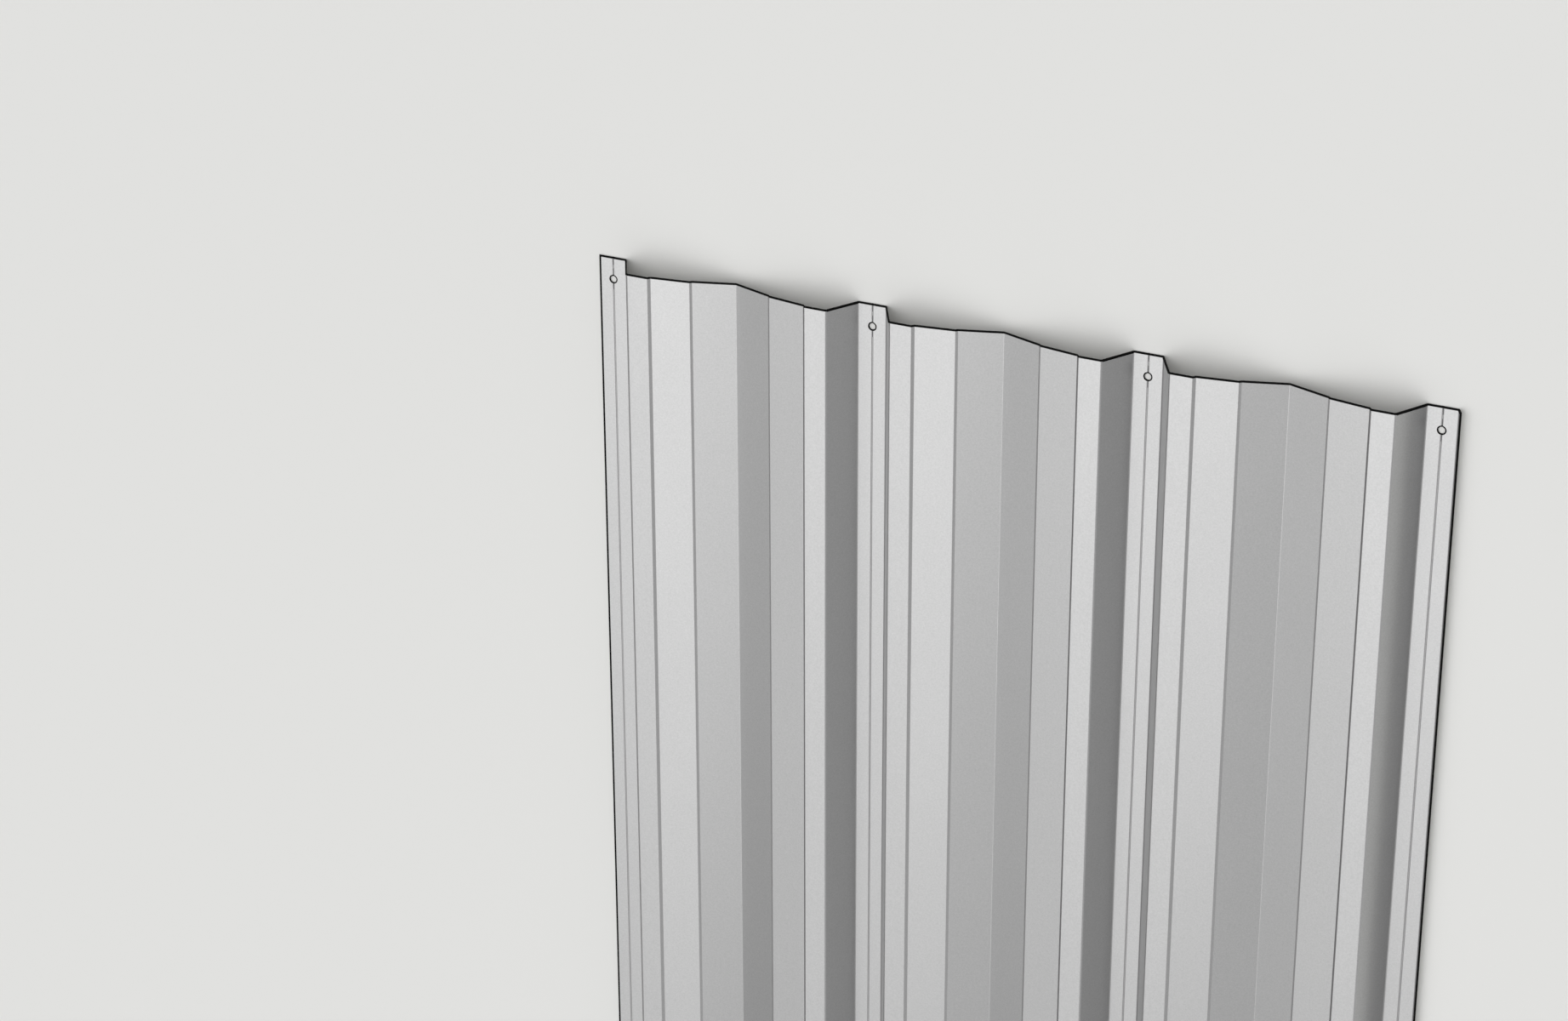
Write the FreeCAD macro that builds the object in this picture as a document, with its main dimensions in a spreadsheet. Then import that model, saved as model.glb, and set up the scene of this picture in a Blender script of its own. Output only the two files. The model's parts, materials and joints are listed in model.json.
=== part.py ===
import FreeCAD, Part
import math
import os

import Sketcher

# A roll-formed steel wall panel, 36 inches of cover, lying flat with its weather face up.
# +X runs across the ribs, +Y along them and +Z out of the wall. Millimetres throughout.
# The panel is one piece of steel of one thickness. Across its ribs it repeats every pitch: a narrow
# strip that lies against the wall and takes the screws in a grooved line, a steep wall up to a ledge,
# two shallow facets that step down to a valley, and the same mirrored back to the next strip.
# One edge ends flat and laps over the panel before it. The other edge turns up with the start of
# a rib wall, which tucks under the panel after it.

# Driving sizes. Widths and heights run to the sharp corners of the weather face, before bending.
SIZES = {
    "panel_length": 2438.4,
    "pitch": 304.8,
    "rib_count": 3,
    "sheet_thickness": 0.6,
    "strip_width": 31.75,
    "wall_run": 20.2,
    "rib_depth": 36.5,
    "ledge_width": 24.6,
    "upper_step_run": 2.4,
    "upper_step_drop": 2.8,
    "facet_run": 42.7,
    "facet_drop": 6.6,
    "lower_step_run": 2.0,
    "lower_step_drop": 1.9,
    "valley_height": 10.8,
    "rib_bend_radius": 2.0,
    "step_bend_radius": 1.0,
    "groove_width": 2.2,
    "groove_depth": 0.7,
    "groove_bend_radius": 0.4,
    "lap_reach": 16.5,
    "lip_height": 8.0,
    "hole_diameter": 7.14,
    "hole_setback": 25.4,
}
SHEET = "sizes"
NODE = "wall_panel_sheet"

# Places of points on sketch elements, and the sketch origin as an element of its own
FIRST_END = 1
SECOND_END = 2
CENTRE = 3
ORIGIN = -1

AWAY_FROM_SKETCH = FreeCAD.Vector(0, 0, 1)


def write_sizes(document):
    """Puts every driving size in the spreadsheet under its own name."""
    sheet = document.addObject("Spreadsheet::Sheet", SHEET)
    for row, (name, value) in enumerate(SIZES.items(), start=1):
        sheet.set(f"A{row}", name)
        sheet.set(f"B{row}", str(value))
        sheet.setAlias(f"B{row}", name)
    document.recompute()


def size(name):
    """A driving size as an expression spells it."""
    return f"{SHEET}.{name}"


def reference(body, role):
    """One of the body's own reference planes or axes."""
    return next(feature for feature in body.Origin.OriginFeatures if feature.Role == role)


def new_sketch(body, name, plane):
    """An empty sketch on one of the body's reference planes."""
    sketch = body.newObject("Sketcher::SketchObject", name)
    sketch.AttachmentSupport = [(reference(body, plane), "")]
    sketch.MapMode = "FlatFace"
    return sketch


def bind(sketch, constraint, name, expression):
    """Adds a constraint and ties its value to the driving sizes."""
    index = sketch.addConstraint(constraint)
    sketch.renameConstraint(index, name)
    sketch.setExpression(f"Constraints.{name}", expression)


def is_zero(expression):
    return expression == "0"


def fix_apart(sketch, kind, name, start, end, expression):
    """Holds two points an expression apart, along X or up, whichever way round they lie."""
    level = {"DistanceX": "Vertical", "DistanceY": "Horizontal"}[kind]
    if is_zero(expression):
        sketch.addConstraint(Sketcher.Constraint(level, *start, *end))
        return
    value = sketch.evalExpression(expression)
    if value < 0:
        start, end = end, start
        expression = f"-({expression})"
    bind(sketch, Sketcher.Constraint(kind, *start, *end, abs(value)), name, expression)


class Bend:
    """One round bend of the face line, as an arc that runs anticlockwise round its centre."""

    def __init__(self, centre, radius, arrival, departure, hollow, expression):
        self.centre = centre
        self.radius = radius
        self.arrival = arrival
        self.departure = departure
        self.expression = expression
        self.arrival_end = FIRST_END if hollow else SECOND_END
        self.departure_end = SECOND_END if hollow else FIRST_END
        self.first_point = arrival if hollow else departure
        self.second_point = departure if hollow else arrival

    def angle(self, point):
        return math.atan2(point.y - self.centre.y, point.x - self.centre.x)

    def arc(self):
        circle = Part.Circle(self.centre, AWAY_FROM_SKETCH, self.radius)
        return Part.ArcOfCircle(circle, self.angle(self.first_point), self.angle(self.second_point))


class FaceLine:
    """The weather face seen from the panel's end: straight runs, with a round bend at each corner.

    Corners are given from left to right. A bend that is hollow on the weather face has its inside
    radius there. A bend that is proud on that face has the inside radius plus the thickness, so that
    the sheet keeps one thickness round every bend. A bend on the line's first or last corner is cut
    in half by the fold line that the next stretch of sheet mirrors or carries on from.
    """

    def __init__(self, sketch):
        self.sketch = sketch
        self.points = []
        self.marks = []
        self.radii = []

    def corner(self, across, up, radius=None, from_origin=False):
        """Adds a corner, a step across and up from the last one or from the sketch origin."""
        step = FreeCAD.Vector(self.sketch.evalExpression(across), self.sketch.evalExpression(up), 0)
        fixed = from_origin or not self.points
        start = FreeCAD.Vector(0, 0, 0) if fixed else self.points[-1]
        before = (ORIGIN, FIRST_END) if fixed else (self.marks[-1], FIRST_END)
        mark = self.sketch.addGeometry(Part.Point(start + step), True)
        number = len(self.points)
        fix_apart(self.sketch, "DistanceX", f"across_{number}", before, (mark, FIRST_END), across)
        fix_apart(self.sketch, "DistanceY", f"up_{number}", before, (mark, FIRST_END), up)
        self.points.append(start + step)
        self.marks.append(mark)
        self.radii.append(radius)

    def direction(self, number, other):
        return (self.points[other] - self.points[number]).normalize()

    def full_bend(self, number):
        """A bend between two runs, tangent to both."""
        corner = self.points[number]
        ahead = self.direction(number, number + 1)
        behind = self.direction(number, number - 1)
        hollow = ahead.cross(behind).z > 0
        expression = self.radii[number] if hollow else f"{self.radii[number]} + {size('sheet_thickness')}"
        radius = self.sketch.evalExpression(expression)
        half_angle = ahead.getAngle(behind) / 2
        centre = corner + (ahead + behind).normalize() * (radius / math.sin(half_angle))
        tangent = radius / math.tan(half_angle)
        return Bend(centre, radius, corner + behind * tangent, corner + ahead * tangent, hollow, expression)

    def half_bend(self, number):
        """Half of a hollow bend, cut off at its lowest point by the fold line through its corner."""
        corner = self.points[number]
        run = self.direction(number, 1 if number == 0 else number - 1)
        slope = math.atan2(run.y, abs(run.x))
        radius = self.sketch.evalExpression(self.radii[number])
        centre = corner + FreeCAD.Vector(0, radius / math.cos(slope), 0)
        touch = corner + run * (radius * math.tan(slope))
        lowest = centre - FreeCAD.Vector(0, radius, 0)
        arrival, departure = (lowest, touch) if number == 0 else (touch, lowest)
        return Bend(centre, radius, arrival, departure, True, self.radii[number])

    def draw(self):
        """Draws the straight runs from left to right and then the bends that join them."""
        last = len(self.points) - 1
        bends = {}
        for number, radius in enumerate(self.radii):
            if radius is not None:
                bends[number] = self.half_bend(number) if number in (0, last) else self.full_bend(number)
        runs = [self.add_run(number, bends) for number in range(last)]
        for number, mark in enumerate(self.marks):
            arriving = runs[number - 1] if number > 0 else None
            leaving = runs[number] if number < last else None
            if number in bends:
                self.add_bend(number, bends[number], arriving, leaving)
            elif arriving is None:
                self.join("Coincident", leaving, FIRST_END, mark, FIRST_END)
            else:
                self.join("Coincident", arriving, SECOND_END, mark, FIRST_END)

    def add_run(self, number, bends):
        """A straight run from where one bend ends, or a plain corner, to where the next begins."""
        start = bends[number].departure if number in bends else self.points[number]
        end = bends[number + 1].arrival if number + 1 in bends else self.points[number + 1]
        return self.sketch.addGeometry(Part.LineSegment(start, end), False)

    def add_bend(self, number, bend, arriving, leaving):
        """An arc of the bend's radius, tangent to its runs or ending on the fold line."""
        arc = self.sketch.addGeometry(bend.arc(), False)
        bind(self.sketch, Sketcher.Constraint("Radius", arc, bend.radius), f"bend_{number}", bend.expression)
        mark = self.marks[number]
        sides = ((arriving, SECOND_END, bend.arrival_end), (leaving, FIRST_END, bend.departure_end))
        for run, run_end, arc_end in sides:
            if run is None:
                self.join("Vertical", arc, arc_end, mark, FIRST_END)
                self.join("Vertical", arc, CENTRE, mark, FIRST_END)
            else:
                self.join("Tangent", run, run_end, arc, arc_end)
                self.join("PointOnObject", mark, FIRST_END, run)

    def join(self, kind, *elements):
        self.sketch.addConstraint(Sketcher.Constraint(kind, *elements))


def half_groove_width():
    return f"{size('groove_width')} / 2"


def first_strip():
    """Where the middle of the first strip lies: the first rib's valley is over the sketch origin."""
    return f"-{size('pitch')} / 2"


def last_strip():
    return f"({size('rib_count')} - 0.5) * {size('pitch')}"


def rib_half_line(sketch):
    """From the middle of a strip, over half a rib, to the bottom of its valley."""
    line = FaceLine(sketch)
    start_strip(line, first_strip())
    line.corner(size("wall_run"), size("rib_depth"), size("rib_bend_radius"))
    line.corner(size("ledge_width"), "0", size("step_bend_radius"))
    line.corner(size("upper_step_run"), f"-{size('upper_step_drop')}", size("step_bend_radius"))
    line.corner(size("facet_run"), f"-{size('facet_drop')}", size("step_bend_radius"))
    line.corner(size("lower_step_run"), f"-{size('lower_step_drop')}", size("step_bend_radius"))
    line.corner("0", size("valley_height"), size("step_bend_radius"), from_origin=True)
    line.draw()


def start_strip(line, middle):
    """The right half of a strip: out of its groove and across to the foot of the rib wall."""
    line.corner(middle, f"-{size('groove_depth')}", size("groove_bend_radius"))
    line.corner(half_groove_width(), size("groove_depth"), size("groove_bend_radius"))
    flat = f"({size('strip_width')} - {size('groove_width')}) / 2"
    line.corner(flat, "0", size("rib_bend_radius"))


def lap_edge_line(sketch):
    """The left half of the first strip, from its free edge into its groove."""
    line = FaceLine(sketch)
    line.corner(f"{first_strip()} - {size('lap_reach')}", "0")
    line.corner(f"{size('lap_reach')} - {half_groove_width()}", "0", size("groove_bend_radius"))
    line.corner(half_groove_width(), f"-{size('groove_depth')}", size("groove_bend_radius"))
    line.draw()


def tuck_edge_line(sketch):
    """The right half of the last strip, and the low start of a rib wall that ends it."""
    line = FaceLine(sketch)
    start_strip(line, last_strip())
    line.corner(f"{size('wall_run')} * {size('lip_height')} / {size('rib_depth')}", size("lip_height"))
    line.draw()


def rolled_stretch(body, name, draw_line):
    """A stretch of sheet: its face line, thickened to the back, run along the panel's length."""
    sketch = new_sketch(body, f"{name}_line", "XZ_Plane")
    draw_line(sketch)
    section = body.newObject("PartDesign::SubShapeBinder", f"{name}_section")
    section.Support = [(sketch, ("",))]
    section.setExpression("Offset", f"-{size('sheet_thickness')}")
    section.OffsetFill = True
    section.OffsetOpenResult = True
    section.MakeFace = True
    stretch = body.newObject("PartDesign::Pad", name)
    stretch.Profile = (section, [""])
    stretch.SideType = "Symmetric"
    stretch.setExpression("Length", size("panel_length"))
    return stretch


def repeat(body, name, feature, plane, count, spacing):
    """A feature mirrored across a reference plane, and the pair repeated along X."""
    repeats = body.newObject("PartDesign::MultiTransform", name)
    repeats.Originals = [feature]
    mirrored = body.newObject("PartDesign::Mirrored", f"{name}_mirrored")
    mirrored.MirrorPlane = (reference(body, plane), [""])
    row = body.newObject("PartDesign::LinearPattern", f"{name}_row")
    row.Direction = (reference(body, "X_Axis"), [""])
    row.Mode = "Spacing"
    row.setExpression("Offset", spacing)
    row.setExpression("Occurrences", count)
    repeats.Transformations = [mirrored, row]
    body.Tip = repeats
    return repeats


def screw_holes(body):
    """The punched hole on the middle of each strip, near both ends of the panel."""
    sketch = new_sketch(body, "first_hole_circle", "XY_Plane")
    radius = SIZES["hole_diameter"] / 2
    end_distance = f"{size('panel_length')} / 2 - {size('hole_setback')}"
    centre = FreeCAD.Vector(sketch.evalExpression(first_strip()), sketch.evalExpression(end_distance), 0)
    circle = sketch.addGeometry(Part.Circle(centre, AWAY_FROM_SKETCH, radius), False)
    bind(sketch, Sketcher.Constraint("Diameter", circle, 2 * radius), "diameter", size("hole_diameter"))
    start = (ORIGIN, FIRST_END)
    fix_apart(sketch, "DistanceX", "strip_middle", start, (circle, CENTRE), first_strip())
    fix_apart(sketch, "DistanceY", "end_distance", start, (circle, CENTRE), end_distance)
    hole = body.newObject("PartDesign::Pocket", "first_hole")
    hole.Profile = (sketch, [""])
    hole.Type = "ThroughAll"
    hole.SideType = "Symmetric"
    return repeat(body, "holes", hole, "XZ_Plane", f"{size('rib_count')} + 1", size("pitch"))


def build_panel(document):
    """The whole panel as one body, set down with its box centred over the origin."""
    body = document.addObject("PartDesign::Body", NODE)
    body.Label = NODE
    half_rib = rolled_stretch(body, "half_rib", rib_half_line)
    repeat(body, "ribs", half_rib, "YZ_Plane", size("rib_count"), size("pitch"))
    rolled_stretch(body, "lap_edge", lap_edge_line)
    tuck_edge = rolled_stretch(body, "tuck_edge", tuck_edge_line)
    document.recompute()
    volume_before = tuck_edge.Shape.Volume
    holes = screw_holes(body)
    document.recompute()
    check_holes(volume_before - holes.Shape.Volume)
    box = body.Shape.BoundBox
    body.Placement.Base = FreeCAD.Vector(-box.Center.x, -box.Center.y, -box.ZMin)
    document.recompute()
    return body


def check_holes(cut_volume):
    """Stops the build if the holes took away less than a flat disc each or more than a folded one."""
    hole_count = 2 * (SIZES["rib_count"] + 1)
    disc = math.pi / 4 * SIZES["hole_diameter"] ** 2 * SIZES["sheet_thickness"]
    if not disc * hole_count < cut_volume < 1.5 * disc * hole_count:
        raise RuntimeError(f"holes cut {cut_volume:.1f} cubic mm, discs are {disc * hole_count:.1f}")


def check_document(document):
    """Stops the build if any object failed or any sketch is left loose."""
    for item in document.Objects:
        if "Invalid" in item.State or "Error" in item.State:
            raise RuntimeError(f"{item.Name} failed: {item.State}")
        if item.TypeId == "Sketcher::SketchObject" and not item.FullyConstrained:
            raise RuntimeError(f"{item.Name} is not fully constrained")


def write_part(body):
    """Writes the body's solid to its own file once it is known to be one sound solid."""
    shape = body.Shape
    if shape.isNull() or not shape.isValid() or len(shape.Solids) != 1:
        raise RuntimeError(f"{body.Label} is not one sound solid")
    os.makedirs("parts", exist_ok=True)
    shape.exportStep(f"parts/{body.Label}.step")
    print(body.Label, f"{shape.Volume:.1f} cubic mm", shape.BoundBox)


panel_document = FreeCAD.newDocument("wall_panel")
write_sizes(panel_document)
panel = build_panel(panel_document)
check_document(panel_document)
write_part(panel)
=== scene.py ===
import json
import math

import bmesh
import bpy
from bpy.props import FloatProperty, FloatVectorProperty, IntProperty, PointerProperty
from mathutils import Matrix, Vector


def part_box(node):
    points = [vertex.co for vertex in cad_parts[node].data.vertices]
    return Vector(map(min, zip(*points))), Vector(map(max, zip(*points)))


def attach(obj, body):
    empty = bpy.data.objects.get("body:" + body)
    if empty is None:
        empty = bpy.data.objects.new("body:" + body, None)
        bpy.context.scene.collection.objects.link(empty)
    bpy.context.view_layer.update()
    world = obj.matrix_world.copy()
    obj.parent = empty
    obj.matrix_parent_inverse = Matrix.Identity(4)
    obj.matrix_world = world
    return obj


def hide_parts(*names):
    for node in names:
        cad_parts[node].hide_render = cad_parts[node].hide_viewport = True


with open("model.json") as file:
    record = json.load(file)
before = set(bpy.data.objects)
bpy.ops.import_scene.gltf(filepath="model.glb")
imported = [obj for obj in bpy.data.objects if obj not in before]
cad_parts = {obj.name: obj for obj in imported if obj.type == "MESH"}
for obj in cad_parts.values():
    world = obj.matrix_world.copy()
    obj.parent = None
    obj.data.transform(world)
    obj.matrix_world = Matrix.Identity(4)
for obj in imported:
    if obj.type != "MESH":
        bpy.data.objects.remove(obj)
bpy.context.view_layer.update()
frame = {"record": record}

bl_info = {
    "name": "Metal Wall Panel",
    "version": (1, 0, 0),
    "blender": (4, 5, 0),
    "location": "3D View > Sidebar > Wall Panel",
    "description": "Rolls, punches and coats one ribbed steel wall panel and sets it on a studio floor",
    "category": "Add Mesh",
}

# The panel lies on the floor with its weather face up: +X runs across its ribs, +Y along them to the
# end that the camera sees, +Z out of the weather face. Metres throughout.
NODE = "wall_panel_sheet"
BODY = "root"
MM = 0.001

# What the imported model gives: its box, and the two rectangles of screw holes
LOW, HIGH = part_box(NODE)
MOUNTS = {mount["name"]: mount for mount in frame["record"]["mounts"]}
OUTER_HOLES = MOUNTS["outer_screw_holes"]["dims"]
INNER_HOLES = MOUNTS["inner_screw_holes"]["dims"]
HOLES_MIDDLE = Vector(MOUNTS["outer_screw_holes"]["pos_m"])
PITCH_MM = INNER_HOLES["spacing_x_mm"]
RIB_COUNT = round(OUTER_HOLES["spacing_x_mm"] / PITCH_MM)
LENGTH_MM = (HIGH.y - LOW.y) / MM
SETBACK_MM = (LENGTH_MM - OUTER_HOLES["spacing_y_mm"]) / 2
FIRST_STRIP = HOLES_MIDDLE.x - OUTER_HOLES["spacing_x_mm"] / 2 * MM

# Corners of the face line before the first screw line: lap edge, sealer line, groove shoulder.
# After the last screw line: groove shoulder, wall foot, sealer line, lip edge.
LEAD_CORNERS = 3
TAIL_CORNERS = 4

# Which corner of a half rib is the foot of its wall
WALL_FOOT = 2

# Points nearer than this are one point
WELD = 0.001 * MM

# A face is steep if more than this share of its normal runs across the ribs
STEEP = 0.8

# An edge that turns by more than this stays sharp
SHARP_ANGLE = math.radians(35)

# Finish values that a user has no need to change
COATING_METALLIC = 0.95
GLOSS_SPREAD = 0.02
FLAKE_RELIEF = 0.004 * MM
FLAKE_DETAIL = 1.0
SOFT_DETAIL = 2.0
PATCHY_DETAIL = 6.0
WASH_COAT_ROUGHNESS = 0.55
SEALER_ROUGHNESS = 0.7
SEALER_SHINE = 0.05

# Stage values that a user has no need to change
FLOOR_ROUGHNESS = 0.9
FLOOR_SHINE = 0.1
FLOOR_SIDES = 64
SENSOR_WIDTH = 36.0
LIGHTS = ("top", "left", "right", "near")

# Marks that faces carry while the sheet is made
SEALED = "sealed"
BACK = "back"
RIM_CUT = "rim_cut"
FACE_MARK = {"data_type": "BOOLEAN", "domain": "FACE"}

# Node kinds that come up often
MATH = "ShaderNodeMath"
WHOLE_MATH = "FunctionNodeIntegerMath"
LOGIC = "FunctionNodeBooleanMath"
COMPARE = "FunctionNodeCompare"
VECTOR = "ShaderNodeCombineXYZ"
VECTOR_PARTS = "ShaderNodeSeparateXYZ"
EXTRUDE = "GeometryNodeExtrudeMesh"
MERGE = "GeometryNodeMergeByDistance"
CUT = "GeometryNodeMeshBoolean"
MARK = "GeometryNodeStoreNamedAttribute"
MARKED = "GeometryNodeInputNamedAttribute"
NOISE = "ShaderNodeTexNoise"
MIX = "ShaderNodeMix"

# The sockets of a Mix node that hold its two colours and its result
MIX_FIRST, MIX_SECOND, MIX_RESULT = 6, 7, 2


# Settings that a user can change


def length(name, description, millimetres):
    """A size, given here in millimetres and kept in metres."""
    return FloatProperty(
        name=name, description=description, default=millimetres * MM, unit="LENGTH", precision=5
    )


def count(name, description, number, least):
    """A whole number of things, and the least of them that makes sense."""
    return IntProperty(name=name, description=description, default=number, min=least)


def angle(name, description, degrees):
    """An angle, given here in degrees and kept in radians."""
    return FloatProperty(
        name=name, description=description, default=math.radians(degrees), subtype="ANGLE"
    )


def vector(name, description, subtype, values):
    """A place or a direction."""
    return FloatVectorProperty(
        name=name, description=description, default=values, size=3, subtype=subtype
    )


def strength(name, description, value):
    """How strong a light is."""
    return FloatProperty(name=name, description=description, default=value, min=0)


def linear(code):
    """The linear red, green and blue of an sRGB hex code such as #C0C0C0."""
    shares = (int(code[place:place + 2], 16) / 255 for place in (1, 3, 5))
    return tuple(s / 12.92 if s <= 0.04045 else ((s + 0.055) / 1.055) ** 2.4 for s in shares)


def colour(name, description, code):
    """A colour, given as an sRGB hex code."""
    return FloatVectorProperty(
        name=name, description=description, default=linear(code), size=3, subtype="COLOR", min=0, max=1
    )


class PanelSizes(bpy.types.PropertyGroup):
    """The rolled section, from the middle of a screw strip to the middle of a rib, and the cut edges."""

    panel_length: length("Panel Length", "Cut length along the ribs", LENGTH_MM)
    pitch: length("Pitch", "From the middle of one screw strip to the next", PITCH_MM)
    rib_count: count("Rib Count", "Ribs across the panel", RIB_COUNT, 1)
    sheet_thickness: length("Sheet Thickness", "Steel and coating together", 0.6)
    strip_width: length("Strip Width", "Flat strip between two rib walls", 31.75)
    wall_run: length("Wall Run", "How far a rib wall leans over its height", 20.2)
    rib_depth: length("Rib Depth", "From the strips up to the ledges", 36.5)
    ledge_width: length("Ledge Width", "Flat ledge at the top of a rib wall", 24.6)
    upper_step_run: length("Upper Step Run", "Width of the small step beside the ledge", 2.4)
    upper_step_drop: length("Upper Step Drop", "Height of the small step beside the ledge", 2.8)
    facet_run: length("Facet Run", "Width of the sloping facet between the two steps", 42.7)
    facet_drop: length("Facet Drop", "Fall of the sloping facet between the two steps", 6.6)
    lower_step_run: length("Lower Step Run", "Width of the small step above the valley", 2.0)
    lower_step_drop: length("Lower Step Drop", "Height of the small step above the valley", 1.9)
    valley_height: length("Valley Height", "Middle of a rib above the strips", 10.8)
    rib_bend_radius: length("Rib Bend Radius", "Inside radius at the foot and head of a wall", 2.0)
    step_bend_radius: length("Step Bend Radius", "Inside radius at the small steps and the valley", 1.0)
    groove_width: length("Groove Width", "Screw line pressed along each strip", 2.2)
    groove_depth: length("Groove Depth", "Screw line pressed along each strip", 0.7)
    groove_bend_radius: length("Groove Bend Radius", "Inside radius in the screw line", 0.4)
    lap_reach: length("Lap Reach", "From the first screw line to the flat edge", 16.5)
    lip_height: length("Lip Height", "Turned-up edge beside the last strip", 8.0)
    hole_diameter: length("Hole Diameter", "Punched screw holes", 2 * OUTER_HOLES["hole_r_mm"])
    hole_setback: length("Hole Setback", "From a cut end to its holes", SETBACK_MM)
    sealer_width: length("Sealer Width", "How far the sealer reaches in from a cut edge", 2.2)
    lip_sealer: length("Lip Sealer", "How far the sealer reaches down from the lip's edge", 1.4)
    rim_width: length("Rim Width", "How far the sealer reaches out from a hole", 1.4)
    bead_height: length("Bead Height", "How thick the sealer stands on a steep cut edge", 1.2)
    wick_length: length("Wick Length", "How far the sealer runs along a screw line", 7.0)
    wick_width: length("Wick Width", "Width of that run in the bottom of the screw line", 0.6)
    bend_segments: count("Bend Segments", "Facets round one bend", 8, 2)
    hole_segments: count("Hole Segments", "Facets round one hole", 64, 8)


class PanelFinish(bpy.types.PropertyGroup):
    """Colours and grain of the coated steel."""

    coating: colour("Coating", "Silver-grey coil coating on the weather face", "#C0C0C0")
    flake: colour("Flake", "The darker specks in the coating", "#ACACAC")
    roughness: FloatProperty(
        name="Roughness", description="How softly the coating mirrors", default=0.3, min=0, max=1,
        subtype="FACTOR",
    )
    flake_size: length("Flake Size", "Grain of the coating", 1.6)
    cloud_size: length("Cloud Size", "Slow change of gloss over the sheet", 90.0)
    wash_coat: colour("Wash Coat", "Thin dull coat on the back", "#B4B3AE")
    wash_coat_thin: colour("Thin Wash Coat", "The same coat where it lies thinner", "#A9A8A4")
    sealer: colour("Edge Sealer", "Dark lacquer on the cut edges and hole rims", "#060606")
    sealer_thin: colour("Thin Edge Sealer", "The same lacquer where the brush left less", "#0E0E0E")
    brush_mark: length("Brush Mark", "Length of a patch that the brush left thin", 25.0)


class StageSettings(bpy.types.PropertyGroup):
    """Floor, light and camera."""

    floor: colour("Floor", "Matt pale floor", "#E2E2E0")
    floor_reach: length("Floor Reach", "From the panel to the edge of the floor", 40000.0)
    room_light: strength("Room Light", "Even light from all round", 0.12)
    top_light: strength("Top Light", "Strength of the overhead light", 0.55)
    top_width: angle("Top Width", "Spread of the overhead light", 60)
    top_side: vector("Top Side", "Towards the overhead light", "DIRECTION", (-0.242, 0.0, 0.97))
    left_light: strength("Left Light", "Strength of the broad left light", 1.41)
    left_width: angle("Left Width", "Spread of the broad left light", 90)
    left_side: vector("Left Side", "Towards the broad left light", "DIRECTION", (-0.469, 0.0, 0.883))
    right_light: strength("Right Light", "Strength of the low right fill", 0.813)
    right_width: angle("Right Width", "Spread of the low right fill", 90)
    right_side: vector("Right Side", "Towards the low right fill", "DIRECTION", (0.718, -0.415, 0.559))
    near_light: strength("Near Light", "Strength of the fill on the camera's side", 1.0)
    near_width: angle("Near Width", "Spread of the fill on the camera's side", 80)
    near_side: vector("Near Side", "Towards the fill on the camera's side", "DIRECTION", (0.45, 0.75, 0.48))
    eye: vector("Eye", "Place of the camera", "TRANSLATION", (1.4045, 2.6953, 3.3318))
    target: vector("Target", "Middle of the picture", "TRANSLATION", (-0.2575, 0.9631, 0.0012))
    roll: angle("Roll", "Tilt of the camera off the ribs", -0.246)
    focal_length: FloatProperty(
        name="Focal Length", description="Lens of the camera", default=88.14, unit="CAMERA"
    )


# Nodes


def add_node(tree, kind, inputs=None, **settings):
    """Adds a node with its settings, gives each input a value or links, and returns its first output."""
    node = tree.nodes.new(kind)
    for name, value in settings.items():
        setattr(node, name, value)
    for key, value in (inputs or {}).items():
        for given in value if isinstance(value, list) else (value,):
            if isinstance(given, bpy.types.NodeSocket):
                tree.links.new(given, node.inputs[key])
            else:
                node.inputs[key].default_value = given
    return node.outputs[0] if node.outputs else None


# The rolled sheet


def half_rib_corners(tree, size):
    """Across, up and bend radius of each corner of the weather face, from a screw line to a valley."""
    hollow = {name: size[f"{name}_bend_radius"] for name in ("rib", "step", "groove")}
    proud = {
        name: add_node(tree, MATH, {0: radius, 1: size["sheet_thickness"]}, operation="ADD")
        for name, radius in hollow.items()
    }
    half_groove, half_strip, half_pitch = (
        add_node(tree, MATH, {0: size[name], 1: 2.0}, operation="DIVIDE")
        for name in ("groove_width", "strip_width", "pitch")
    )
    groove_floor = add_node(tree, MATH, {0: 0.0, 1: size["groove_depth"]}, operation="SUBTRACT")
    corners = [
        (0.0, groove_floor, hollow["groove"]),
        (half_groove, 0.0, proud["groove"]),
        (half_strip, 0.0, hollow["rib"]),
    ]
    across = add_node(tree, MATH, {0: half_strip, 1: size["wall_run"]}, operation="ADD")
    up = size["rib_depth"]
    corners.append((across, up, proud["rib"]))
    across = add_node(tree, MATH, {0: across, 1: size["ledge_width"]}, operation="ADD")
    corners.append((across, up, proud["step"]))
    for name, bend in (("upper_step", hollow), ("facet", proud), ("lower_step", hollow)):
        across = add_node(tree, MATH, {0: across, 1: size[f"{name}_run"]}, operation="ADD")
        up = add_node(tree, MATH, {0: up, 1: size[f"{name}_drop"]}, operation="SUBTRACT")
        corners.append((across, up, bend["step"]))
    corners.append((half_pitch, size["valley_height"], hollow["step"]))
    return corners


def lap_place(tree, size, inset):
    """A place on the flat edge before the first strip, so far in from its cut."""
    across = add_node(tree, MATH, {0: inset, 1: size["lap_reach"]}, operation="SUBTRACT")
    return add_node(tree, VECTOR, {"X": across})


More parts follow.
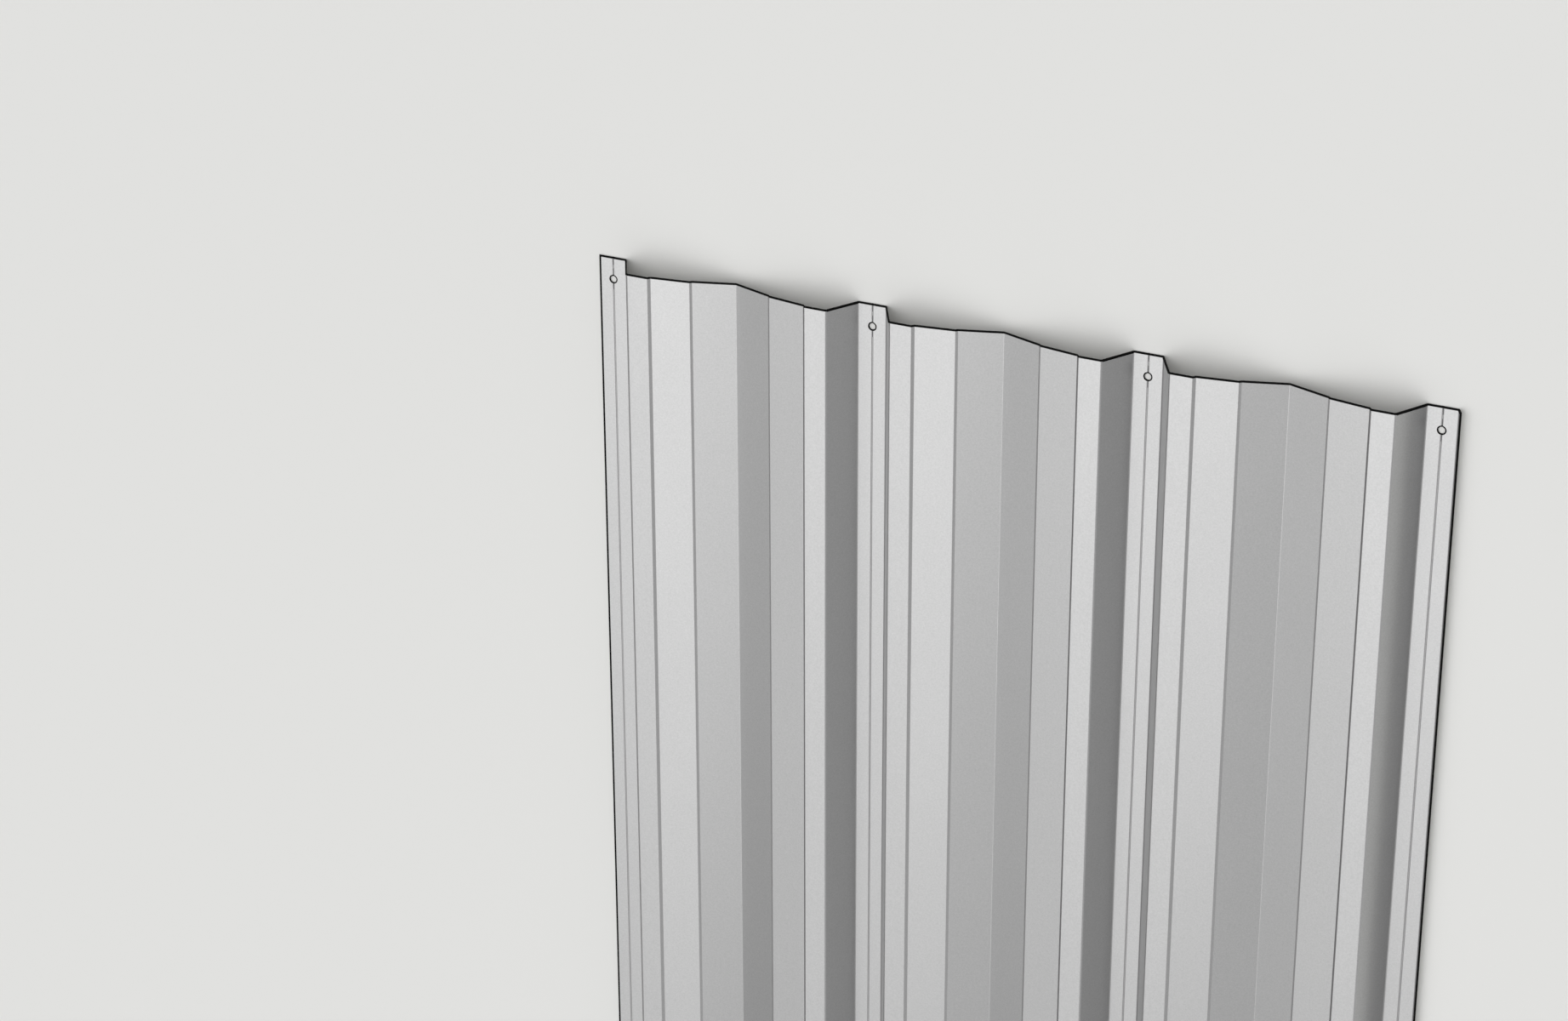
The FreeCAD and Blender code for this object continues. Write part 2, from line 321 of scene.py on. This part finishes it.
def lip_place(tree, size, foot, inset):
    """A place on the turned-up edge after the last strip, in line with a rib wall, so far below its cut."""
    up = add_node(tree, MATH, {0: size["lip_height"], 1: inset}, operation="SUBTRACT")
    share = add_node(tree, MATH, {0: up, 1: size["rib_depth"]}, operation="DIVIDE")
    past_strip = add_node(tree, MATH, {0: share, 1: size["wall_run"], 2: foot}, operation="MULTIPLY_ADD")
    across = add_node(
        tree, MATH, {0: size["rib_count"], 1: size["pitch"], 2: past_strip}, operation="MULTIPLY_ADD"
    )
    return add_node(tree, VECTOR, {"X": across, "Z": up})


def face_line(tree, size, corners):
    """The weather face seen from the panel's end: a line of corners, mirrored, repeated and bent round."""
    to_valley = len(corners) - 1
    per_rib = 2 * to_valley
    index = add_node(tree, "GeometryNodeInputIndex")
    number = add_node(tree, WHOLE_MATH, {0: index, 1: LEAD_CORNERS}, operation="SUBTRACT")
    along_rib = add_node(tree, WHOLE_MATH, {0: number, 1: per_rib}, operation="FLOORED_MODULO")
    from_end = add_node(tree, WHOLE_MATH, {0: per_rib, 1: along_rib}, operation="SUBTRACT")
    corner = add_node(tree, WHOLE_MATH, {0: along_rib, 1: from_end}, operation="MINIMUM")
    mirrored = add_node(
        tree, COMPARE, {"A": along_rib, "B": to_valley}, data_type="INT", operation="GREATER_THAN"
    )
    rib = add_node(tree, WHOLE_MATH, {0: number, 1: per_rib}, operation="DIVIDE_FLOOR")
    strip = add_node(tree, MATH, {0: rib, 1: mirrored}, operation="ADD")
    strip_middle = add_node(tree, MATH, {0: strip, 1: size["pitch"]}, operation="MULTIPLY")
    side = add_node(tree, MATH, {0: mirrored, 1: -2.0, 2: 1.0}, operation="MULTIPLY_ADD")

    places = [add_node(tree, VECTOR, {"X": across, "Z": up}) for across, up, _ in corners]
    radii = [radius for _, _, radius in corners]
    chosen = []
    for data_type, values in (("VECTOR", places), ("FLOAT", radii)):
        switch = add_node(tree, "GeometryNodeIndexSwitch", {"Index": corner}, data_type=data_type).node
        while len(switch.index_switch_items) < len(values):
            switch.index_switch_items.new()
        for item, value in enumerate(values):
            tree.links.new(value, switch.inputs[str(item)])
        chosen.append(switch.outputs[0])
    place, radius = chosen
    to_side = add_node(tree, VECTOR, {"X": side, "Y": 1.0, "Z": 1.0})
    to_strip = add_node(tree, VECTOR, {"X": strip_middle})
    place = add_node(
        tree, "ShaderNodeVectorMath", {0: place, 1: to_side, 2: to_strip}, operation="MULTIPLY_ADD"
    )

    plain_corners = LEAD_CORNERS + 1 + TAIL_CORNERS
    total = add_node(
        tree, WHOLE_MATH, {0: size["rib_count"], 1: per_rib, 2: plain_corners}, operation="MULTIPLY_ADD"
    )
    last, last_but_one = (
        add_node(tree, WHOLE_MATH, {0: total, 1: back}, operation="SUBTRACT") for back in (1, 2)
    )
    foot = corners[WALL_FOOT][0]
    for end, end_place in (
        (0, lap_place(tree, size, 0.0)),
        (1, lap_place(tree, size, size["sealer_width"])),
        (last_but_one, lip_place(tree, size, foot, size["lip_sealer"])),
        (last, lip_place(tree, size, foot, 0.0)),
    ):
        here = add_node(tree, COMPARE, {"A": index, "B": end}, data_type="INT", operation="EQUAL")
        place = add_node(
            tree, "GeometryNodeSwitch", {"Switch": here, "False": place, "True": end_place},
            input_type="VECTOR",
        )
    points = add_node(tree, "GeometryNodePoints", {"Count": total, "Position": place})
    line = add_node(tree, "GeometryNodePointsToCurves", {"Points": points})
    return add_node(
        tree, "GeometryNodeFilletCurve",
        {"Curve": line, "Count": size["bend_segments"], "Radius": radius}, mode="POLY",
    )


def sealer_lines(tree, size):
    """How far from a cut end the sealer stops: on the face, in the screw lines, and there round a hole."""
    margin = size["sealer_width"]
    wick = size["wick_length"]
    wick_end = add_node(tree, MATH, {0: margin, 1: wick}, operation="ADD")
    hole_radius = add_node(tree, MATH, {0: size["hole_diameter"], 1: 2.0}, operation="DIVIDE")
    rim = add_node(tree, MATH, {0: hole_radius, 1: size["rim_width"]}, operation="ADD")
    reach = add_node(tree, MATH, {0: rim, 1: wick}, operation="ADD")
    before_hole, past_hole = (
        add_node(tree, MATH, {0: size["hole_setback"], 1: reach}, operation=operation)
        for operation in ("SUBTRACT", "ADD")
    )
    return margin, wick_end, before_hole, past_hole


def rolled_out(tree, size, line, stops):
    """The face line run along the panel's length, with a seam across it wherever the sealer stops.

    The faces point to the back, where the thickness goes.
    """
    panel_length = size["panel_length"]
    to_end = add_node(tree, MATH, {0: panel_length, 1: -0.5}, operation="MULTIPLY")
    to_end = add_node(tree, VECTOR, {"Y": to_end})
    steps = [stops[0]]
    for near, far in zip(stops, stops[1:]):
        steps.append(add_node(tree, MATH, {0: far, 1: near}, operation="SUBTRACT"))
    middle = add_node(tree, MATH, {0: stops[-1], 1: -2.0, 2: panel_length}, operation="MULTIPLY_ADD")
    sheet = add_node(tree, "GeometryNodeCurveToMesh", {"Curve": line})
    sheet = add_node(tree, MERGE, {"Geometry": sheet, "Distance": WELD})
    sheet = add_node(tree, "GeometryNodeSetPosition", {"Geometry": sheet, "Offset": to_end})
    far_edge = True
    for run in (*steps, middle, *reversed(steps)):
        along = add_node(tree, VECTOR, {"Y": run})
        sheet = add_node(
            tree, EXTRUDE, {"Mesh": sheet, "Selection": far_edge, "Offset": along, "Offset Scale": 1.0},
            mode="EDGES",
        )
        far_edge = sheet.node.outputs["Top"]
    return sheet


def sealed_along_cuts(tree, size, sheet, foot, stops):
    """Marks the faces that carry the sealer.

    They lie beside the cut ends, the lap edge and the lip, and where the sealer has run along the bottom
    of a screw line from an end or a hole.
    """
    margin, wick_end, before_hole, past_hole = stops
    place = add_node(tree, "GeometryNodeInputPosition")
    across, along, _ = add_node(tree, VECTOR_PARTS, {0: place}).node.outputs
    from_middle = add_node(tree, MATH, {0: along}, operation="ABSOLUTE")
    half_length, half_pitch, half_wick = (
        add_node(tree, MATH, {0: size[name], 1: 2.0}, operation="DIVIDE")
        for name in ("panel_length", "pitch", "wick_width")
    )
    from_end = add_node(tree, MATH, {0: half_length, 1: from_middle}, operation="SUBTRACT")
    from_screw_line = add_node(tree, MATH, {0: across, 1: half_pitch}, operation="PINGPONG")
    lap_line, lip_line = (
        add_node(tree, VECTOR_PARTS, {0: line})
        for line in (lap_place(tree, size, margin), lip_place(tree, size, foot, size["lip_sealer"]))
    )
    tests = (
        (from_end, "LESS_THAN", margin),
        (across, "LESS_THAN", lap_line),
        (across, "GREATER_THAN", lip_line),
        (from_end, "LESS_THAN", wick_end),
        (from_end, "GREATER_THAN", before_hole),
        (from_end, "LESS_THAN", past_hole),
        (from_screw_line, "LESS_THAN", half_wick),
    )
    at_end, at_lap, at_lip, by_end, past_start, before_stop, in_screw_line = (
        add_node(tree, COMPARE, {"A": value, "B": line}, operation=operation)
        for value, operation, line in tests
    )
    by_hole = add_node(tree, LOGIC, {0: past_start, 1: before_stop}, operation="AND")
    wicked = add_node(tree, LOGIC, {0: by_end, 1: by_hole}, operation="OR")
    sealed = add_node(tree, LOGIC, {0: wicked, 1: in_screw_line}, operation="AND")
    for edge in (at_end, at_lap, at_lip):
        sealed = add_node(tree, LOGIC, {0: sealed, 1: edge}, operation="OR")
    return add_node(tree, MARK, {"Geometry": sheet, "Name": SEALED, "Value": sealed}, **FACE_MARK)


def beaded(tree, size, face):
    """The weather face with the sealer standing up in a bead where a steep wall or the lip was cut."""
    sealed = add_node(tree, MARKED, {"Name": SEALED}, data_type="BOOLEAN")
    normal = add_node(tree, "GeometryNodeInputNormal")
    across = add_node(tree, VECTOR_PARTS, {0: normal})
    lean = add_node(tree, MATH, {0: across}, operation="ABSOLUTE")
    steep = add_node(tree, COMPARE, {"A": lean, "B": STEEP}, operation="GREATER_THAN")
    chosen = add_node(tree, LOGIC, {0: sealed, 1: steep}, operation="AND")
    bead = add_node(
        tree, EXTRUDE,
        {"Mesh": face, "Selection": chosen, "Offset Scale": size["bead_height"], "Individual": False},
        mode="FACES",
    )
    flank = bead.node.outputs["Side"]
    return add_node(
        tree, MARK, {"Geometry": bead, "Selection": flank, "Name": SEALED, "Value": True}, **FACE_MARK
    )


def thickened(tree, size, underside):
    """The face and its back, closed round the cut edges, with the back marked for its own coat."""
    face = beaded(tree, size, add_node(tree, "GeometryNodeFlipFaces", {"Mesh": underside}))
    rear = add_node(
        tree, EXTRUDE,
        {"Mesh": underside, "Offset Scale": size["sheet_thickness"], "Individual": False}, mode="FACES",
    )
    back = rear.node.outputs["Top"]
    rear = add_node(
        tree, MARK, {"Geometry": rear, "Selection": back, "Name": BACK, "Value": True}, **FACE_MARK
    )
    both = add_node(tree, "GeometryNodeJoinGeometry", {"Geometry": [face, rear]})
    return add_node(tree, MERGE, {"Geometry": both, "Distance": WELD})


def punched(tree, size, sheet):
    """The sheet with a round hole through each strip, near both ends, and a sealed rim round each hole."""
    reach = add_node(tree, MATH, {0: size["rib_count"], 1: size["pitch"]}, operation="MULTIPLY")
    rows = add_node(
        tree, MATH, {0: size["hole_setback"], 1: -2.0, 2: size["panel_length"]}, operation="MULTIPLY_ADD"
    )
    strips = add_node(tree, WHOLE_MATH, {0: size["rib_count"], 1: 1}, operation="ADD")
    centres = add_node(
        tree, "GeometryNodeMeshGrid",
        {"Size X": reach, "Size Y": rows, "Vertices X": strips, "Vertices Y": 2},
    )
    middle = add_node(tree, MATH, {0: reach, 1: 2.0}, operation="DIVIDE")
    to_middle = add_node(tree, VECTOR, {"X": middle})
    centres = add_node(tree, "GeometryNodeTransform", {"Geometry": centres, "Translation": to_middle})

    hole_radius = add_node(tree, MATH, {0: size["hole_diameter"], 1: 2.0}, operation="DIVIDE")
    rim_radius = add_node(tree, MATH, {0: hole_radius, 1: size["rim_width"]}, operation="ADD")
    tools = []
    for radius in (hole_radius, rim_radius):
        tool = add_node(
            tree, "GeometryNodeMeshCylinder",
            {"Vertices": size["hole_segments"], "Radius": radius, "Depth": size["rib_depth"]},
        )
        tool = add_node(tree, "GeometryNodeInstanceOnPoints", {"Points": centres, "Instance": tool})
        tools.append(add_node(tree, "GeometryNodeRealizeInstances", {"Geometry": tool}))
    punch, rim_cutter = tools
    difference = {"operation": "DIFFERENCE", "solver": "EXACT"}
    common = {"operation": "INTERSECT", "solver": "EXACT"}
    sheet = add_node(tree, CUT, {"Mesh 1": sheet, "Mesh 2": punch}, **difference)

    # The rims are cut out and set back without the walls of that cut, to be faces of their own.
    rim_cutter = add_node(tree, MARK, {"Geometry": rim_cutter, "Name": RIM_CUT, "Value": True}, **FACE_MARK)
    rest = add_node(tree, CUT, {"Mesh 1": sheet, "Mesh 2": rim_cutter}, **difference)
    rims = add_node(tree, CUT, {"Mesh 2": [sheet, rim_cutter]}, **common)
    rims = add_node(tree, MARK, {"Geometry": rims, "Name": SEALED, "Value": True}, **FACE_MARK)
    both = add_node(tree, "GeometryNodeJoinGeometry", {"Geometry": [rest, rims]})
    walls = add_node(tree, MARKED, {"Name": RIM_CUT}, data_type="BOOLEAN")
    both = add_node(
        tree, "GeometryNodeDeleteGeometry", {"Geometry": both, "Selection": walls}, domain="FACE"
    )
    return add_node(tree, MERGE, {"Geometry": both, "Distance": WELD})


def rolled_sheet_tree(sizes, place, coating, wash_coat, sealer):
    """Nodes that roll, thicken and punch the sheet from named sizes and set it in its place."""
    tree = bpy.data.node_groups.new("rolled_sheet", "GeometryNodeTree")
    tree.interface.new_socket("Sheet", in_out="OUTPUT", socket_type="NodeSocketGeometry")
    for key in PanelSizes.__annotations__:
        setting = sizes.bl_rna.properties[key]
        kind = "NodeSocketInt" if setting.type == "INT" else "NodeSocketFloat"
        tree.interface.new_socket(
            setting.name, in_out="INPUT", socket_type=kind, description=setting.description
        )
    given = tree.nodes.new("NodeGroupInput")
    size = dict(zip(PanelSizes.__annotations__, given.outputs))

    corners = half_rib_corners(tree, size)
    stops = sealer_lines(tree, size)
    sheet = rolled_out(tree, size, face_line(tree, size, corners), stops)
    sheet = sealed_along_cuts(tree, size, sheet, corners[WALL_FOOT][0], stops)
    sheet = punched(tree, size, thickened(tree, size, sheet))
    sheet = add_node(tree, "GeometryNodeTransform", {"Geometry": sheet, "Translation": place})
    turn = add_node(tree, "GeometryNodeInputMeshEdgeAngle")
    soft = add_node(tree, COMPARE, {"A": turn, "B": SHARP_ANGLE}, operation="LESS_THAN")
    for domain, smooth in (("FACE", True), ("EDGE", soft)):
        sheet = add_node(
            tree, "GeometryNodeSetShadeSmooth", {"Geometry": sheet, "Shade Smooth": smooth},
            domain=domain,
        )
    sheet = add_node(tree, "GeometryNodeRealizeInstances", {"Geometry": sheet})
    sheet = add_node(tree, "GeometryNodeSetMaterial", {"Geometry": sheet, "Material": coating})
    for name, material in ((BACK, wash_coat), (SEALED, sealer)):
        marked = add_node(tree, MARKED, {"Name": name}, data_type="BOOLEAN")
        sheet = add_node(
            tree, "GeometryNodeSetMaterial",
            {"Geometry": sheet, "Selection": marked, "Material": material},
        )
    add_node(tree, "NodeGroupOutput", {"Sheet": sheet})
    return tree


def make_plain(name, tree, sizes):
    """Runs the nodes once with the sizes given and keeps their result as a plain mesh object."""
    maker = bpy.data.objects.new(f"{name}_maker", bpy.data.meshes.new(f"{name}_maker"))
    bpy.context.scene.collection.objects.link(maker)
    rolled = maker.modifiers.new("rolled_sheet", "NODES")
    rolled.node_group = tree
    inputs = [item for item in tree.interface.items_tree if item.in_out == "INPUT"]
    for key, item in zip(PanelSizes.__annotations__, inputs):
        rolled[item.identifier] = getattr(sizes, key)
    flats = maker.modifiers.new("flat_faces_lead", "WEIGHTED_NORMAL")
    flats.keep_sharp = True
    graph = bpy.context.evaluated_depsgraph_get()
    mesh = bpy.data.meshes.new_from_object(maker.evaluated_get(graph), depsgraph=graph)
    bpy.data.objects.remove(maker)
    if not mesh.polygons:
        raise RuntimeError(f"{name}: the nodes made no faces")
    while None in mesh.materials[:]:
        mesh.materials.pop(index=mesh.materials[:].index(None))
    for mark in (SEALED, BACK, RIM_CUT):
        mesh.attributes.remove(mesh.attributes[mark])
    mesh.name = name
    piece = bpy.data.objects.new(name, mesh)
    bpy.context.scene.collection.objects.link(piece)
    return piece


# Finishes


def new_material(name):
    """A node material with one shader, that shader's tree and the shader."""
    material = bpy.data.materials.new(name)
    material.use_nodes = True
    return material, material.node_tree, material.node_tree.nodes["Principled BSDF"]


def mottled(tree, point, patch_size, detail, first, second):
    """Two colours that run into each other in patches, and the share of the second at each point."""
    share = add_node(tree, NOISE, {"Vector": point, "Scale": 1 / patch_size, "Detail": detail})
    mixed = add_node(
        tree, MIX, {"Factor": share, MIX_FIRST: (*first, 1), MIX_SECOND: (*second, 1)}, data_type="RGBA"
    )
    return mixed.node.outputs[MIX_RESULT], share


def silver_coil_coating(finish):
    """Silver-grey coil coating, baked on flat sheet before rolling.

    Aluminium flake in a clear resin mirrors the light overhead softly, so that each facet has its own
    even grey. The flake gives a fine grain, and the gloss changes slowly along the sheet.
    """
    material, tree, shader = new_material("silver_coil_coating")
    point = add_node(tree, "ShaderNodeTexCoord").node.outputs["Object"]
    # Real flake is a few hundredths of a millimetre wide, so the grain is drawn coarser, to show at all.
    silver, grain = mottled(tree, point, finish.flake_size, FLAKE_DETAIL, finish.flake, finish.coating)
    cloud = add_node(
        tree, NOISE, {"Vector": point, "Scale": 1 / finish.cloud_size, "Detail": SOFT_DETAIL}
    )
    least = finish.roughness - GLOSS_SPREAD
    most = finish.roughness + GLOSS_SPREAD
    gloss = add_node(tree, "ShaderNodeMapRange", {"Value": cloud, "To Min": least, "To Max": most})
    bump = add_node(tree, "ShaderNodeBump", {"Height": grain, "Distance": FLAKE_RELIEF})
    for name, value in (("Base Color", silver), ("Roughness", gloss), ("Normal", bump)):
        tree.links.new(value, shader.inputs[name])
    shader.inputs["Metallic"].default_value = COATING_METALLIC
    return material


def grey_wash_coat(finish):
    """Thin grey wash coat on the back of the sheet: dull, slightly patchy polyester with no flake."""
    material, tree, shader = new_material("grey_wash_coat")
    point = add_node(tree, "ShaderNodeTexCoord").node.outputs["Object"]
    patchy, _ = mottled(
        tree, point, finish.cloud_size, PATCHY_DETAIL, finish.wash_coat, finish.wash_coat_thin
    )
    tree.links.new(patchy, shader.inputs["Base Color"])
    shader.inputs["Roughness"].default_value = WASH_COAT_ROUGHNESS
    return material


def black_edge_sealer(finish):
    """Matt black lacquer brushed over the bare cut edges and hole rims: a crisp, slightly uneven line."""
    material, tree, shader = new_material("black_edge_sealer")
    point = add_node(tree, "ShaderNodeTexCoord").node.outputs["Object"]
    uneven, _ = mottled(tree, point, finish.brush_mark, SOFT_DETAIL, finish.sealer, finish.sealer_thin)
    tree.links.new(uneven, shader.inputs["Base Color"])
    shader.inputs["Roughness"].default_value = SEALER_ROUGHNESS
    shader.inputs["Specular IOR Level"].default_value = SEALER_SHINE
    return material


# Stage


def pale_floor(stage):
    """Matt painted studio floor, wide enough to fill the picture from every side."""
    material, _, shader = new_material("matt_floor_paint")
    shader.inputs["Base Color"].default_value = (*stage.floor, 1)
    shader.inputs["Roughness"].default_value = FLOOR_ROUGHNESS
    shader.inputs["Specular IOR Level"].default_value = FLOOR_SHINE
    mesh = bpy.data.meshes.new("floor")
    form = bmesh.new()
    bmesh.ops.create_circle(form, cap_ends=True, segments=FLOOR_SIDES, radius=stage.floor_reach)
    form.to_mesh(mesh)
    form.free()
    mesh.materials.append(material)
    floor = bpy.data.objects.new("floor", mesh)
    bpy.context.scene.collection.objects.link(floor)
    return floor


def soft_light(stage, name):
    """One of the stage's broad even lights, far away on its own side."""
    light = bpy.data.lights.new(f"{name}_light", "SUN")
    light.angle = getattr(stage, f"{name}_width")
    light.energy = getattr(stage, f"{name}_light")
    lamp = bpy.data.objects.new(f"{name}_light", light)
    side = Vector(getattr(stage, f"{name}_side"))
    lamp.rotation_mode = "QUATERNION"
    lamp.rotation_quaternion = side.to_track_quat("Z", "Y")
    bpy.context.scene.collection.objects.link(lamp)


def room_light(stage):
    """Even grey light from the whole room."""
    world = bpy.data.worlds.new("room")
    world.use_nodes = True
    background = world.node_tree.nodes["Background"]
    background.inputs["Color"].default_value = (1, 1, 1, 1)
    background.inputs["Strength"].default_value = stage.room_light
    bpy.context.scene.world = world


def camera(stage):
    """A camera at the eye point, aimed at the target with the ribs upright in the picture."""
    lens = bpy.data.cameras.new("camera")
    lens.lens = stage.focal_length
    lens.sensor_width = SENSOR_WIDTH
    lens.sensor_fit = "HORIZONTAL"
    eye = Vector(stage.eye)
    back = (eye - Vector(stage.target)).normalized()
    right = Vector((0, 1, 0)).cross(back).normalized()
    up = back.cross(right)
    turn = Matrix((right, up, back)).transposed() @ Matrix.Rotation(stage.roll, 3, "Z")
    viewer = bpy.data.objects.new("camera", lens)
    viewer.matrix_world = Matrix.Translation(eye) @ turn.to_4x4()
    bpy.context.scene.collection.objects.link(viewer)
    bpy.context.scene.camera = viewer


# Operators and sidebar


class WALLPANEL_OT_roll_sheet(bpy.types.Operator):
    """Rolls the sheet, punches its holes and coats it"""

    bl_idname = "wallpanel.roll_sheet"
    bl_label = "Roll Sheet"

    def execute(self, context):
        sizes = context.scene.wall_panel_sizes
        finish = context.scene.wall_panel_finish
        # The holes' middle is at half the sheet's thickness, and the nodes start from its weather face.
        place = Vector((FIRST_STRIP, 0, HOLES_MIDDLE.z + sizes.sheet_thickness / 2))
        materials = (silver_coil_coating(finish), grey_wash_coat(finish), black_edge_sealer(finish))
        sheet = make_plain("panel_sheet", rolled_sheet_tree(sizes, place, *materials), sizes)
        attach(sheet, BODY)
        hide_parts(NODE)
        return {"FINISHED"}


class WALLPANEL_OT_set_stage(bpy.types.Operator):
    """Lays the floor, hangs the lights and aims the camera"""

    bl_idname = "wallpanel.set_stage"
    bl_label = "Set Stage"

    def execute(self, context):
        stage = context.scene.wall_panel_stage
        pale_floor(stage)
        room_light(stage)
        for name in LIGHTS:
            soft_light(stage, name)
        camera(stage)
        context.scene.view_settings.view_transform = "Standard"
        return {"FINISHED"}


class WALLPANEL_PT_sidebar(bpy.types.Panel):
    """Sizes, finish and stage of the wall panel"""

    bl_idname = "WALLPANEL_PT_sidebar"
    bl_label = "Wall Panel"
    bl_space_type = "VIEW_3D"
    bl_region_type = "UI"
    bl_category = "Wall Panel"

    def draw(self, context):
        scene = context.scene
        for operator, groups in (
            (WALLPANEL_OT_roll_sheet, (scene.wall_panel_sizes, scene.wall_panel_finish)),
            (WALLPANEL_OT_set_stage, (scene.wall_panel_stage,)),
        ):
            box = self.layout.box()
            box.operator(operator.bl_idname)
            for group in groups:
                for key in type(group).__annotations__:
                    box.prop(group, key)


CLASSES = (
    PanelSizes,
    PanelFinish,
    StageSettings,
    WALLPANEL_OT_roll_sheet,
    WALLPANEL_OT_set_stage,
    WALLPANEL_PT_sidebar,
)
GROUPS = {
    "wall_panel_sizes": PanelSizes,
    "wall_panel_finish": PanelFinish,
    "wall_panel_stage": StageSettings,
}


def register():
    for cls in CLASSES:
        bpy.utils.register_class(cls)
    for name, group in GROUPS.items():
        setattr(bpy.types.Scene, name, PointerProperty(type=group))


def unregister():
    for name in GROUPS:
        delattr(bpy.types.Scene, name)
    for cls in reversed(CLASSES):
        bpy.utils.unregister_class(cls)


def main():
    register()
    bpy.ops.wallpanel.roll_sheet()
    bpy.ops.wallpanel.set_stage()


if __name__ == "__main__":
    main()
